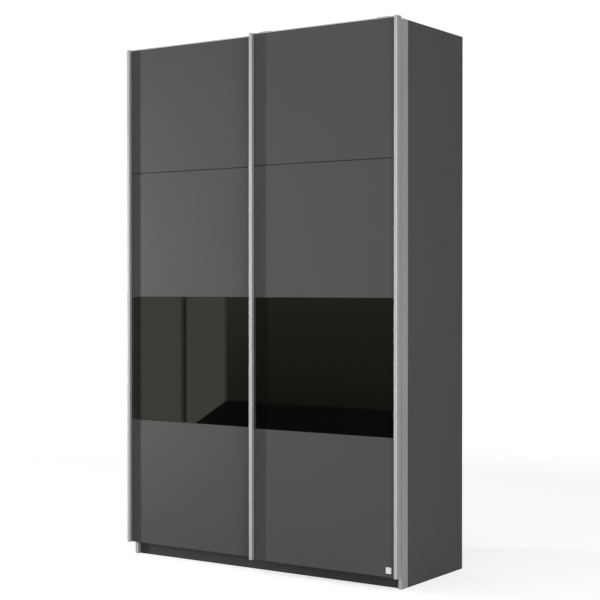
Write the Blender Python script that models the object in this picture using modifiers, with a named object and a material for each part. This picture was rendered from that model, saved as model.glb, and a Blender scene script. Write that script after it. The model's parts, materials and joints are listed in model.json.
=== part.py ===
"""Wardrobe with two suspended sliding doors.

Frame: metres, +Z up, origin on the floor under the middle of the overall box.
-Y is the front, and left and right are as seen from the front.
The left door runs behind the right one.  Both are drawn closed.
"""

import math
from collections import namedtuple

import bmesh
import bpy

# ---------------------------------------------------------------- driving dimensions
OVERALL_DEPTH = 0.541
BODY_WIDTH = 1.284
BODY_HEIGHT = 2.097
BOARD = 0.015
GAP = 0.0003
EDGE = 0.0005

DOOR_WIDTH = 0.665
DOOR_OVERLAP = 0.012
DOOR_THICKNESS = 0.016
DOOR_BOTTOM = 0.051
FRONT_DOOR_TOP = BODY_HEIGHT
REAR_DOOR_DROP = 0.0007
REAR_DOOR_TOP = BODY_HEIGHT - REAR_DOOR_DROP
DOOR_PITCH = 0.0335
DOOR_TRAVEL = 0.620
DOOR_FIELDS = 4

HANDLE_WIDTH = 0.0135
HANDLE_REACH = 0.015
HANDLE_WEB = 0.003
HANDLE_WALL = 0.0016
HANDLE_ROUND = 0.002
GLASS = 0.004
JOINT_STRIP = 0.002
JOINT_RECESS = 0.0008
TOP_RAIL = 0.0035
TOP_RAIL_LIP = 0.0005

DOOR_CLEARANCE = 0.0025
STRIP_DEPTH = 0.042
STRIP_WALL = 0.0015
PLINTH_SETBACK = 0.015
PLINTH_HEIGHT = 0.055

TOP_PANEL_UNDER = 0.054
BACK_PANEL = 0.003
BACK_INSET = 0.0095
GROOVE_DEPTH = 0.006
GROOVE_WIDTH = 0.004
BACK_JOINT_LIP = 0.0015
BACK_JOINT_WEB = 0.0006
BACK_JOINT_FLANGE = 0.008
PARTITION_SETBACK = 0.0035
SHELF_HEIGHT = 1.740
SHELF_SETBACK = 0.035
SHELF_BACK_GAP = 0.008
HANGING_RAIL_HEIGHT = 1.690
HANGING_RAIL_Y = 0.040
RAIL_OVAL = (0.015, 0.030)
RAIL_WALL = 0.0012
SOCKET_OVAL = (0.026, 0.042)
SOCKET_DEPTH = 0.012
SOCKET_FLOOR = 0.003
BRACKET_X = 0.400
BRACKET_WIDTH = 0.040
BRACKET_LEG = 0.036
BRACKET_RISE = 0.040
BRACKET_SHEET = 0.002
BRACKET_HOLE_SHARE = 0.65
WALL_HOLE = 0.003
PANEL_HOLE = 0.0025
DRILL_LENGTH = 0.020
WELD_DISTANCE = 0.00001

# ---------------------------------------------------------------- planes worked out from them
FRONT_Y = -OVERALL_DEPTH / 2
BACK_Y = OVERALL_DEPTH / 2
FRONT_DOOR_FACE = FRONT_Y + HANDLE_REACH
REAR_DOOR_FACE = FRONT_DOOR_FACE + DOOR_PITCH
REAR_DOOR_BACK = REAR_DOOR_FACE + DOOR_THICKNESS
STRIP_FRONT = REAR_DOOR_BACK + DOOR_CLEARANCE
STRIP_BACK = STRIP_FRONT + STRIP_DEPTH
PLINTH_FRONT = STRIP_FRONT + PLINTH_SETBACK
BODY_X = BODY_WIDTH / 2
INNER_X = BODY_X - BOARD
BOTTOM_TOP = PLINTH_HEIGHT + BOARD
TOP_UNDERSIDE = BODY_HEIGHT - TOP_PANEL_UNDER - BOARD
TOP_UPPERSIDE = TOP_UNDERSIDE + BOARD
BACK_PANEL_FRONT = BACK_Y - BACK_INSET - BACK_PANEL
PARTITION_FRONT = PLINTH_FRONT + PARTITION_SETBACK
DOOR_SPAN = 2 * DOOR_WIDTH - DOOR_OVERLAP
FIELD = (FRONT_DOOR_TOP - TOP_RAIL - DOOR_BOTTOM) / DOOR_FIELDS

# ---------------------------------------------------------------- running gear
TRACK_WEB = 0.003
TRACK_WEB_INSET = 0.0015
TRACK_WEB_BACK = STRIP_BACK - TRACK_WEB_INSET
TRACK_SHELF = 0.003
TRACK_SINK = 0.001
TRACK_SHELF_TOP = TOP_UPPERSIDE - TRACK_SINK
TRACK_SHELF_SETBACK = 0.0012
TRACK_SHELF_FRONT = STRIP_FRONT + TRACK_SHELF_SETBACK
TRACK_RISE = 0.020
TRACK_TOP = TRACK_SHELF_TOP + TRACK_RISE
RIDGE_HEIGHT = 0.0035
RIDGE_HALF = 0.0015
WHEEL_WIDTH = 0.009
WHEEL_FLANGE = 0.017
WHEEL_ROOT = 0.0145
WHEEL_BORE = 0.00415
AXLE_RADIUS = 0.004
AXLE_HEAD_RADIUS = 0.006
AXLE_HEAD = 0.001
WHEEL_PLAY = 0.0005
GROOVE_PLAY = 0.0004
GROOVE_FLARE = 0.0012
WHEEL_Z = TRACK_SHELF_TOP + RIDGE_HEIGHT + WHEEL_ROOT + GAP
TURNED_STEPS = 32

CARRIAGE_OUTER_X = 0.590
CARRIAGE_INNER_X = 0.060
HANGER_PLATE = 0.0022
HANGER_WIDTH = 0.060
HANGER_FOOT = 0.060
HANGER_HEAD = 0.025
ARM_PLATE = 0.0025
ARM_WIDTH = 0.050
ARM_SETBACK = 0.0025
ARM_BELOW_AXLE = 0.008
WHEEL_CLEARANCE = 0.0007
ARM_LEG_SETBACK = 0.0135
REAR_WHEEL_FRONT = STRIP_FRONT + WHEEL_CLEARANCE
ARM_LEG_FRONT = STRIP_FRONT + ARM_LEG_SETBACK
FRONT_WHEEL_FRONT = ARM_LEG_FRONT + ARM_PLATE + WHEEL_CLEARANCE

GUIDE_OUTER_X = 0.614
GUIDE_INNER_X = 0.141
GUIDE_WIDTH = 0.020
GUIDE_FINGER = 0.003
GUIDE_FINGER_TOP = 0.066
GUIDE_PLAY = 0.001
GUIDE_CLEARANCE = 0.0015
GUIDE_REAR_FOOT = 0.0025
GUIDE_FRONT_FOOT = 0.003
GUIDE_PLATE_HEIGHT = 0.028
RAIL_FIN = 0.0012
RAIL_BOTTOM = 0.056
RAIL_ROOF = 0.068
RAIL_TOP = 0.0705
RAIL_SETBACK = 0.001
RAIL_CHANNEL = 0.0063
RAIL_FRONT = STRIP_FRONT + RAIL_SETBACK
RAIL_BACK = PLINTH_FRONT - GAP
RAIL_MIDDLE = RAIL_FRONT + RAIL_CHANNEL

STOP_LENGTH = 0.012
STOP_HALF = 0.0035
STOP_TOP = 0.0135
STOP_CLEARANCE = 0.0005

BADGE_SIZE = 0.023
BADGE_THICKNESS = 0.0008
BADGE_X = 0.616
BADGE_Z = 0.076

Door = namedtuple("Door", "name left_x face_y top_z closed_side")
LEFT_DOOR = Door("left_door", -DOOR_SPAN / 2, REAR_DOOR_FACE, REAR_DOOR_TOP, -1)
RIGHT_DOOR = Door("right_door", DOOR_SPAN / 2 - DOOR_WIDTH, FRONT_DOOR_FACE, FRONT_DOOR_TOP, 1)


# ---------------------------------------------------------------- scene and materials
def clear_scene():
    for item in list(bpy.data.objects):
        bpy.data.objects.remove(item, do_unlink=True)


def new_collection(name):
    collection = bpy.data.collections.new(name)
    bpy.context.scene.collection.children.link(collection)
    return collection


def material(name, color, roughness, metallic=0.0):
    finish = bpy.data.materials.new(name)
    finish.use_nodes = True
    shader = finish.node_tree.nodes["Principled BSDF"]
    shader.inputs["Base Color"].default_value = (*color, 1.0)
    shader.inputs["Roughness"].default_value = roughness
    shader.inputs["Metallic"].default_value = metallic
    finish.diffuse_color = (*color, 1.0)
    return finish


def make_finishes():
    return {
        "graphite": material("graphite_board", (0.085, 0.086, 0.088), 0.55),
        "interior": material("interior_board", (0.52, 0.51, 0.49), 0.6),
        "backing": material("back_board", (0.46, 0.45, 0.43), 0.7),
        "aluminium": material("satin_aluminium", (0.62, 0.62, 0.63), 0.35, 1.0),
        "glass": material("black_glass", (0.008, 0.008, 0.007), 0.04),
        "steel": material("zinc_plated_steel", (0.55, 0.56, 0.58), 0.4, 1.0),
        "plastic": material("black_plastic", (0.015, 0.015, 0.016), 0.5),
        "nylon": material("grey_nylon", (0.35, 0.35, 0.34), 0.45),
        "rubber": material("stop_rubber", (0.02, 0.02, 0.02), 0.85),
    }


# ---------------------------------------------------------------- shape helpers
def link(name, data, finish, collection):
    item = bpy.data.objects.new(name, data)
    collection.objects.link(item)
    if finish is not None:
        data.materials.append(finish)
    return item


def box(name, low, high, finish, edge=EDGE, collection=None):
    """A board or block between two corners, its edges broken by a small bevel."""
    mesh = bpy.data.meshes.new(name)
    size = [high[i] - low[i] for i in range(3)]
    shape = bmesh.new()
    bmesh.ops.create_cube(shape, size=1.0)
    bmesh.ops.scale(shape, vec=size, verts=shape.verts)
    shape.to_mesh(mesh)
    shape.free()
    item = link(name, mesh, finish, collection or WARDROBE)
    item.location = [(low[i] + high[i]) / 2 for i in range(3)]
    if edge:
        bevel = item.modifiers.new("broken_edges", "BEVEL")
        bevel.width = edge
        bevel.segments = 1
    return item


def arc(center, radius, start_deg, end_deg, steps=4):
    """Points along an arc, both ends included."""
    points = []
    for k in range(steps + 1):
        angle = math.radians(start_deg + (end_deg - start_deg) * k / steps)
        points.append((center[0] + radius * math.cos(angle), center[1] + radius * math.sin(angle)))
    return points


def rectangle(low, high):
    return [(low[0], low[1]), (high[0], low[1]), (high[0], high[1]), (low[0], high[1])]


def oval(center, width, height, steps=8):
    """An upright oval with half-round ends."""
    radius = width / 2
    straight = height / 2 - radius
    top = arc((center[0], center[1] + straight), radius, 0, 180, steps)
    bottom = arc((center[0], center[1] - straight), radius, 180, 360, steps)
    return top + bottom


def extrusion(name, outlines, low, high, along, finish, collection=None):
    """A flat outline, with any holes as further outlines, drawn out along Z or along X."""
    curve = bpy.data.curves.new(name, "CURVE")
    curve.dimensions = "2D"
    curve.fill_mode = "BOTH"
    curve.extrude = (high - low) / 2
    for points in outlines:
        spline = curve.splines.new("POLY")
        spline.points.add(len(points) - 1)
        for slot, (u, v) in zip(spline.points, points):
            slot.co = (u, v, 0.0, 1.0)
        spline.use_cyclic_u = True
    item = link(name, curve, finish, collection or WARDROBE)
    middle = (low + high) / 2
    if along == "X":
        item.rotation_euler = (math.pi / 2, 0.0, math.pi / 2)
        item.location = (middle, 0.0, 0.0)
    else:
        item.location = (0.0, 0.0, middle)
    return item


def as_mesh(item):
    """Turn a curve object into a welded mesh object of the same name, place and finish."""
    bpy.context.view_layer.update()
    evaluated = item.evaluated_get(bpy.context.evaluated_depsgraph_get())
    mesh = bpy.data.meshes.new_from_object(evaluated)
    shape = bmesh.new()
    shape.from_mesh(mesh)
    bmesh.ops.remove_doubles(shape, verts=shape.verts, dist=WELD_DISTANCE)
    shape.to_mesh(mesh)
    shape.free()
    name = item.name
    home = item.users_collection[0]
    place = item.matrix_world.copy()
    bpy.data.objects.remove(item, do_unlink=True)
    solid = bpy.data.objects.new(name, mesh)
    home.objects.link(solid)
    solid.matrix_world = place
    return solid


def turned(name, profile, location, finish):
    """A closed profile of (radius, height) points turned about an axis that lies along Y."""
    mesh = bpy.data.meshes.new(name)
    shape = bmesh.new()
    corners = [shape.verts.new((radius, 0.0, height)) for radius, height in profile]
    for k, corner in enumerate(corners):
        shape.edges.new((corner, corners[(k + 1) % len(corners)]))
    shape.to_mesh(mesh)
    shape.free()
    item = link(name, mesh, finish, WARDROBE)
    screw = item.modifiers.new("turned", "SCREW")
    screw.axis = "Z"
    screw.steps = TURNED_STEPS
    screw.render_steps = TURNED_STEPS
    screw.use_merge_vertices = True
    screw.merge_threshold = WELD_DISTANCE
    item.rotation_euler = (math.pi / 2, 0.0, 0.0)
    item.location = location
    return item


def rod(name, radius, length, location, upright=False):
    """A round bar along Y, or along Z if upright, that another piece is cut or joined with."""
    mesh = bpy.data.meshes.new(name)
    shape = bmesh.new()
    bmesh.ops.create_cone(
        shape, cap_ends=True, segments=TURNED_STEPS, radius1=radius, radius2=radius, depth=length)
    shape.to_mesh(mesh)
    shape.free()
    item = link(name, mesh, None, CUTTERS)
    item.rotation_euler = (0.0 if upright else math.pi / 2, 0.0, 0.0)
    item.location = location
    return item


def combine(item, tool, operation):
    """Cut a tool out of a piece, or join it on, and keep the tool out of sight."""
    tool.hide_render = True
    tool.display_type = "WIRE"
    modifier = item.modifiers.new(tool.name, "BOOLEAN")
    modifier.operation = operation
    modifier.solver = "EXACT"
    modifier.object = tool


# ---------------------------------------------------------------- carcass
def side_panel(name, side):
    """A side board, grooved near its rear edge for the back panel."""
    xs = sorted((side * INNER_X, side * BODY_X))
    low = (xs[0], STRIP_BACK + GAP, 0.0)
    high = (xs[1], BACK_Y, BODY_HEIGHT)
    panel = box(name, low, high, FINISH["graphite"])
    middle = BACK_PANEL_FRONT + BACK_PANEL / 2
    cut = sorted((side * (INNER_X - GROOVE_DEPTH), side * (INNER_X + GROOVE_DEPTH)))
    groove = box(
        name + "_groove", (cut[0], middle - GROOVE_WIDTH / 2, -BOARD),
        (cut[1], middle + GROOVE_WIDTH / 2, BODY_HEIGHT + BOARD), None, 0.0, CUTTERS)
    combine(panel, groove, "DIFFERENCE")


def side_strip(name, side):
    """The hollow aluminium extrusion that finishes the front edge of a side."""
    xs = sorted((side * INNER_X, side * BODY_X))
    outer = rectangle((xs[0], STRIP_FRONT), (xs[1], STRIP_BACK))
    inner = rectangle(
        (xs[0] + STRIP_WALL, STRIP_FRONT + STRIP_WALL), (xs[1] - STRIP_WALL, STRIP_BACK - STRIP_WALL))
    extrusion(name, [outer, inner], 0.0, BODY_HEIGHT, "Z", FINISH["aluminium"])


def build_boards():
    half = INNER_X - GAP
    rear = BACK_PANEL_FRONT - GAP
    box("top_panel", (-half, TRACK_WEB_BACK + GAP, TOP_UNDERSIDE), (half, rear, TOP_UPPERSIDE),
        FINISH["interior"])
    box("bottom_panel", (-half, PLINTH_FRONT, PLINTH_HEIGHT + GAP), (half, rear, BOTTOM_TOP),
        FINISH["interior"])
    box("partition", (-BOARD / 2, PARTITION_FRONT, BOTTOM_TOP + GAP),
        (BOARD / 2, rear - BACK_JOINT_LIP - GAP, TOP_UNDERSIDE - GAP), FINISH["interior"])
    box("plinth_front", (-half, PLINTH_FRONT, 0.0), (half, PLINTH_FRONT + BOARD, PLINTH_HEIGHT),
        FINISH["graphite"])
    box("plinth_rear", (-half, rear - BOARD, 0.0), (half, rear, PLINTH_HEIGHT), FINISH["interior"])


def build_back():
    """Two thin panels in the side grooves, joined behind the partition by an H profile."""
    web = BACK_JOINT_WEB
    edge = web + GAP
    reach = INNER_X + GROOVE_DEPTH - GAP
    for name, start, end in (("back_panel_left", -reach, -edge), ("back_panel_right", edge, reach)):
        box(name, (start, BACK_PANEL_FRONT, PLINTH_HEIGHT + GAP),
            (end, BACK_PANEL_FRONT + BACK_PANEL, TOP_UPPERSIDE), FINISH["backing"], 0.0)
    flange = BACK_JOINT_FLANGE
    lip = BACK_JOINT_LIP
    front = BACK_PANEL_FRONT - GAP
    rear = BACK_PANEL_FRONT + BACK_PANEL + GAP
    outline = [
        (-flange, front - lip), (flange, front - lip), (flange, front), (web, front),
        (web, rear), (flange, rear), (flange, rear + lip), (-flange, rear + lip),
        (-flange, rear), (-web, rear), (-web, front), (-flange, front)]
    extrusion("back_joint_profile", [outline], BOTTOM_TOP + GAP, TOP_UNDERSIDE - GAP, "Z",
              FINISH["plastic"])


def build_socket(name, wall, direction):
    """A round-ended block on a wall, with a blind oval pocket for the hanging rail."""
    center = (HANGING_RAIL_Y, HANGING_RAIL_HEIGHT)
    ends = sorted((wall, wall + direction * SOCKET_DEPTH))
    block = as_mesh(
        extrusion(name, [oval(center, *SOCKET_OVAL)], ends[0], ends[1], "X", FINISH["nylon"]))
    ends = sorted((wall + direction * SOCKET_FLOOR, wall + direction * 2 * SOCKET_DEPTH))
    pocket_oval = oval(center, RAIL_OVAL[0] + 2 * GAP, RAIL_OVAL[1] + 2 * GAP)
    pocket = as_mesh(
        extrusion(name + "_pocket", [pocket_oval], ends[0], ends[1], "X", None, CUTTERS))
    combine(block, pocket, "DIFFERENCE")


def build_fittings(side_name, side):
    """Hat shelf, hanging rail and rail sockets of one compartment."""
    outer = side * (INNER_X - GAP)
    inner = side * (BOARD / 2 + GAP)
    xs = sorted((outer, inner))
    box("shelf_" + side_name, (xs[0], PARTITION_FRONT + SHELF_SETBACK, SHELF_HEIGHT),
        (xs[1], BACK_PANEL_FRONT - SHELF_BACK_GAP, SHELF_HEIGHT + BOARD), FINISH["interior"])
    center = (HANGING_RAIL_Y, HANGING_RAIL_HEIGHT)
    seat = side * (SOCKET_FLOOR + GAP)
    ends = sorted((outer - seat, inner + seat))
    hollow = oval(center, RAIL_OVAL[0] - 2 * RAIL_WALL, RAIL_OVAL[1] - 2 * RAIL_WALL)
    extrusion("hanging_rail_" + side_name, [oval(center, *RAIL_OVAL), hollow], ends[0], ends[1], "X",
              FINISH["steel"])
    build_socket("rail_socket_" + side_name + "_outer", outer, -side)
    build_socket("rail_socket_" + side_name + "_inner", inner, side)


def build_wall_brackets():
    """Two steel angles that tie the top panel to the wall, each with two screw holes."""
    seat = TOP_UPPERSIDE + GAP
    sheet = BRACKET_SHEET
    outline = [
        (BACK_Y - BRACKET_LEG, seat), (BACK_Y, seat), (BACK_Y, seat + BRACKET_RISE),
        (BACK_Y - sheet, seat + BRACKET_RISE), (BACK_Y - sheet, seat + sheet),
        (BACK_Y - BRACKET_LEG, seat + sheet)]
    for name, x in (("wall_bracket_left", -BRACKET_X), ("wall_bracket_right", BRACKET_X)):
        ends = (x - BRACKET_WIDTH / 2, x + BRACKET_WIDTH / 2)
        angle = as_mesh(extrusion(name, [outline], ends[0], ends[1], "X", FINISH["steel"]))
        wall_hole = rod(name + "_wall_hole", WALL_HOLE, DRILL_LENGTH,
                        (x, BACK_Y, seat + BRACKET_RISE * BRACKET_HOLE_SHARE))
        panel_hole = rod(name + "_panel_hole", PANEL_HOLE, DRILL_LENGTH,
                         (x, BACK_Y - BRACKET_LEG * BRACKET_HOLE_SHARE, seat), upright=True)
        combine(angle, wall_hole, "DIFFERENCE")
        combine(angle, panel_hole, "DIFFERENCE")


# ---------------------------------------------------------------- tracks
REAR_RIDGE_Y = REAR_WHEEL_FRONT + WHEEL_WIDTH / 2
FRONT_RIDGE_Y = FRONT_WHEEL_FRONT + WHEEL_WIDTH / 2


def ridge(center_y, top_z):
    """The raised runway that a grooved wheel rolls on, drawn from front to back."""
    shoulder = RIDGE_HEIGHT - RIDGE_HALF
    crown = arc((center_y, TRACK_SHELF_TOP + shoulder), RIDGE_HALF, 180, 0, 6)
    return [(center_y - RIDGE_HALF, top_z)] + crown + [(center_y + RIDGE_HALF, top_z)]


def build_top_track():
    web_front = TRACK_WEB_BACK - TRACK_WEB
    outline = [(TRACK_SHELF_FRONT, TRACK_SHELF_TOP - TRACK_SHELF), (TRACK_SHELF_FRONT, TRACK_SHELF_TOP)]
    outline += ridge(REAR_RIDGE_Y, TRACK_SHELF_TOP)
    outline += ridge(FRONT_RIDGE_Y, TRACK_SHELF_TOP)
    outline += [
        (web_front, TRACK_SHELF_TOP), (web_front, TRACK_TOP), (TRACK_WEB_BACK, TRACK_TOP),
        (TRACK_WEB_BACK, TOP_UNDERSIDE + GAP), (web_front, TOP_UNDERSIDE + GAP),
        (web_front, TRACK_SHELF_TOP - TRACK_SHELF)]
    half = INNER_X - GAP
    extrusion("top_track", [outline], -half, half, "X", FINISH["aluminium"])


def build_bottom_rail():
    """Two downward channels, one behind the other, that keep the doors from swinging."""
    outline = [
        (RAIL_FRONT, RAIL_BOTTOM), (RAIL_FRONT, RAIL_TOP), (RAIL_BACK, RAIL_TOP),
        (RAIL_BACK, RAIL_BOTTOM), (RAIL_BACK - RAIL_FIN, RAIL_BOTTOM),
        (RAIL_BACK - RAIL_FIN, RAIL_ROOF), (RAIL_MIDDLE + RAIL_FIN, RAIL_ROOF),
        (RAIL_MIDDLE + RAIL_FIN, RAIL_BOTTOM), (RAIL_MIDDLE, RAIL_BOTTOM),
        (RAIL_MIDDLE, RAIL_ROOF), (RAIL_FRONT + RAIL_FIN, RAIL_ROOF),
        (RAIL_FRONT + RAIL_FIN, RAIL_BOTTOM)]
    half = INNER_X - GAP
    extrusion("bottom_guide_rail", [outline], -half, half, "X", FINISH["aluminium"])


def build_stops(runway, ridge_y, side):
    """Rubber blocks astride one runway, met by the wheels when the door is shut or fully open."""
    seat = TRACK_SHELF_TOP + GAP
    slot = RIDGE_HALF + GAP
    outline = [
        (ridge_y - STOP_HALF, seat), (ridge_y - slot, seat),
        (ridge_y - slot, seat + RIDGE_HEIGHT), (ridge_y + slot, seat + RIDGE_HEIGHT),
        (ridge_y + slot, seat), (ridge_y + STOP_HALF, seat),
        (ridge_y + STOP_HALF, seat + STOP_TOP), (ridge_y - STOP_HALF, seat + STOP_TOP)]
    shut = side * (CARRIAGE_OUTER_X + WHEEL_FLANGE + STOP_CLEARANCE)
    opened = -side * (DOOR_TRAVEL - CARRIAGE_INNER_X + WHEEL_FLANGE + STOP_CLEARANCE)
    for place, face, direction in (("shut", shut, side), ("open", opened, -side)):
        ends = sorted((face, face + direction * STOP_LENGTH))
        extrusion(runway + "_stop_" + place, [outline], ends[0], ends[1], "X", FINISH["rubber"])


# ---------------------------------------------------------------- doors
def handle_outline(door, side):
    """Section of an edge profile: a hollow grip in front and a web over the board's edge."""
    edge = door.left_x if side < 0 else door.left_x + DOOR_WIDTH
    inward = -side
    nose = door.face_y - HANDLE_REACH
    back = door.face_y + DOOR_THICKNESS
    seat = door.face_y - GAP
    round_off = HANDLE_ROUND
    corner_a = arc((round_off, round_off), round_off, 180, 270)
    corner_b = arc((HANDLE_WIDTH - round_off, round_off), round_off, 270, 360)
    local = corner_a + corner_b
    local += [(HANDLE_WIDTH, seat - nose), (HANDLE_WEB, seat - nose), (HANDLE_WEB, back - nose)]
    local += [(0.0, back - nose)]
    hollow = rectangle(
        (HANDLE_WALL, HANDLE_WALL), (HANDLE_WIDTH - HANDLE_WALL, seat - nose - HANDLE_WALL))
    return [[(edge + inward * u, nose + v) for u, v in points] for points in (local, hollow)]


def build_door_leaf(door):
    left = door.left_x + HANDLE_WEB + GAP
    right = door.left_x + DOOR_WIDTH - HANDLE_WEB - GAP
    face = door.face_y
    back = face + DOOR_THICKNESS
    levels = [DOOR_BOTTOM + FIELD * k for k in range(DOOR_FIELDS)]
    seam = GAP / 2
    joint = JOINT_STRIP / 2
    rail_under = door.top_z - TOP_RAIL
    box(door.name + "_board_lower", (left, face, levels[0]), (right, back, levels[1] - seam),
        FINISH["graphite"])
    box(door.name + "_glass", (left, face, levels[1] + seam), (right, face + GLASS, levels[2] - seam),
        FINISH["glass"])
    box(door.name + "_glass_backing", (left, face + GLASS + GAP, levels[1] + seam),
        (right, back, levels[2] - seam), FINISH["graphite"])
    box(door.name + "_board_upper", (left, face, levels[2] + seam),
        (right, back, levels[3] - joint - GAP), FINISH["graphite"])
    box(door.name + "_joint_strip", (left, face + JOINT_RECESS, levels[3] - joint),
        (right, back, levels[3] + joint), FINISH["plastic"], 0.0)
    box(door.name + "_board_top", (left, face, levels[3] + joint + GAP),
        (right, back, rail_under - GAP), FINISH["graphite"])
    box(door.name + "_top_rail", (left, face - TOP_RAIL_LIP + GAP, rail_under),
        (right, back, door.top_z), FINISH["aluminium"])
    for place, side in (("left", -1), ("right", 1)):
        extrusion(door.name + "_handle_" + place, handle_outline(door, side), DOOR_BOTTOM, door.top_z,
                  "Z", FINISH["aluminium"])


def axle_on(plate, x, plate_back, wheel_front):
    """Rivet an axle with a retaining head to a carriage plate."""
    start = plate_back - HANGER_PLATE / 2
    shoulder = wheel_front + WHEEL_WIDTH + WHEEL_PLAY
    end = shoulder + AXLE_HEAD
    pin = rod(plate.name + "_axle", AXLE_RADIUS, end - start - AXLE_HEAD / 2,
              (x, (start + end - AXLE_HEAD / 2) / 2, WHEEL_Z))
    head = rod(plate.name + "_axle_head", AXLE_HEAD_RADIUS, AXLE_HEAD,
               (x, (shoulder + end) / 2, WHEEL_Z))
    combine(plate, pin, "UNION")
    combine(plate, head, "UNION")


def wheel(name, x, wheel_front):
    """A grooved roller that straddles the runway's ridge."""
    half = WHEEL_WIDTH / 2
    groove = RIDGE_HALF + GROOVE_PLAY
    shoulder = groove + GROOVE_FLARE
    profile = [
        (WHEEL_BORE, half), (WHEEL_FLANGE - EDGE, half), (WHEEL_FLANGE, half - EDGE),
        (WHEEL_FLANGE, shoulder), (WHEEL_ROOT, groove), (WHEEL_ROOT, -groove),
        (WHEEL_FLANGE, -shoulder), (WHEEL_FLANGE, EDGE - half),
        (WHEEL_FLANGE - EDGE, -half), (WHEEL_BORE, -half)]
    turned(name, profile, (x, wheel_front + half, WHEEL_Z), FINISH["nylon"])


def rear_carriage(name, x):
    """A flat hanger plate on the back of the rear door."""
    front = REAR_DOOR_BACK + GAP
    plate = box(
        name, (x - HANGER_WIDTH / 2, front, WHEEL_Z - HANGER_FOOT),
        (x + HANGER_WIDTH / 2, front + HANGER_PLATE, WHEEL_Z + HANGER_HEAD), FINISH["steel"])
    axle_on(plate, x, front + HANGER_PLATE, REAR_WHEEL_FRONT)


def front_carriage(name, x):
    """A cranked arm from the top of the front door, over the rear door, to its own runway."""
    arm_under = FRONT_DOOR_TOP + GAP
    leg_back = ARM_LEG_FRONT + ARM_PLATE
    outline = [
        (FRONT_DOOR_FACE + ARM_SETBACK, arm_under), (ARM_LEG_FRONT, arm_under),
        (ARM_LEG_FRONT, WHEEL_Z - ARM_BELOW_AXLE), (leg_back, WHEEL_Z - ARM_BELOW_AXLE),
        (leg_back, arm_under + ARM_PLATE), (FRONT_DOOR_FACE + ARM_SETBACK, arm_under + ARM_PLATE)]
    arm = as_mesh(
        extrusion(name, [outline], x - ARM_WIDTH / 2, x + ARM_WIDTH / 2, "X", FINISH["steel"]))
    axle_on(arm, x, leg_back, FRONT_WHEEL_FRONT)


def rear_guide(name, x):
    """A guide on the back of the rear door, with its finger in the rail's front channel."""
    front = REAR_DOOR_BACK + GAP
    plate_back = front + HANGER_PLATE
    finger = RAIL_FRONT + RAIL_FIN + GUIDE_PLAY
    foot_top = RAIL_BOTTOM - GUIDE_CLEARANCE
    foot = foot_top - GUIDE_REAR_FOOT
    plate_top = foot + GUIDE_PLATE_HEIGHT
    outline = [
        (front, foot), (finger + GUIDE_FINGER, foot), (finger + GUIDE_FINGER, GUIDE_FINGER_TOP),
        (finger, GUIDE_FINGER_TOP), (finger, foot_top), (plate_back, foot_top),
        (plate_back, plate_top), (front, plate_top)]
    extrusion(name, [outline], x - GUIDE_WIDTH / 2, x + GUIDE_WIDTH / 2, "X", FINISH["plastic"])


def front_guide(name, x):
    """A guide under the front door that reaches below the rear door to the rail's rear channel."""
    finger = RAIL_MIDDLE + RAIL_FIN + GUIDE_PLAY
    foot_top = DOOR_BOTTOM - GUIDE_CLEARANCE
    foot = foot_top - GUIDE_FRONT_FOOT
    seat = DOOR_BOTTOM - GAP
    toe = FRONT_DOOR_FACE + GUIDE_CLEARANCE
    outline = [
        (toe, foot), (finger + GUIDE_FINGER, foot),
        (finger + GUIDE_FINGER, GUIDE_FINGER_TOP), (finger, GUIDE_FINGER_TOP),
        (finger, foot_top), (FRONT_DOOR_FACE + DOOR_THICKNESS, foot_top),
        (FRONT_DOOR_FACE + DOOR_THICKNESS, seat), (toe, seat)]
    extrusion(name, [outline], x - GUIDE_WIDTH / 2, x + GUIDE_WIDTH / 2, "X", FINISH["plastic"])


def build_running_gear(door, carriage, wheel_front, guide):
    """Two carriages with their wheels and two bottom guides for one door."""
    side = door.closed_side
    for place, sign in (("left", -1), ("right", 1)):
        outer = sign == side
        x = side * (CARRIAGE_OUTER_X if outer else CARRIAGE_INNER_X)
        carriage(door.name + "_carriage_" + place, x)
        wheel(door.name + "_wheel_" + place, x, wheel_front)
        guide_x = side * (GUIDE_OUTER_X if outer else GUIDE_INNER_X)
        guide(door.name + "_guide_" + place, guide_x)


def build_badge():
    """A small plain plate low on the right door."""
    half = BADGE_SIZE / 2
    rear = FRONT_DOOR_FACE - GAP
    box("badge_plate", (BADGE_X - half, rear - BADGE_THICKNESS, BADGE_Z - half),
        (BADGE_X + half, rear, BADGE_Z + half), FINISH["aluminium"], BADGE_THICKNESS / 4)


def build_wardrobe():
    for place, side in (("left", -1), ("right", 1)):
        side_panel("side_panel_" + place, side)
        side_strip("side_strip_" + place, side)
        build_fittings(place, side)
    build_boards()
    build_back()
    build_wall_brackets()
    build_top_track()
    build_bottom_rail()
    build_stops("rear_runway", REAR_RIDGE_Y, LEFT_DOOR.closed_side)
    build_stops("front_runway", FRONT_RIDGE_Y, RIGHT_DOOR.closed_side)
    build_door_leaf(LEFT_DOOR)
    build_door_leaf(RIGHT_DOOR)
    build_running_gear(LEFT_DOOR, rear_carriage, REAR_WHEEL_FRONT, rear_guide)
    build_running_gear(RIGHT_DOOR, front_carriage, FRONT_WHEEL_FRONT, front_guide)
    build_badge()


clear_scene()
WARDROBE = new_collection("sliding_door_wardrobe")
CUTTERS = new_collection("cutters")
FINISH = make_finishes()
build_wardrobe()
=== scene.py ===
"""Finishes, fixings, light and camera of the sliding door wardrobe.

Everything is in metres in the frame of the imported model: +Z up, -Y the front.
Left and right are as seen from the front.
"""
import json
import math

import bmesh
import bpy
from mathutils import Matrix, Quaternion, Vector


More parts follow.
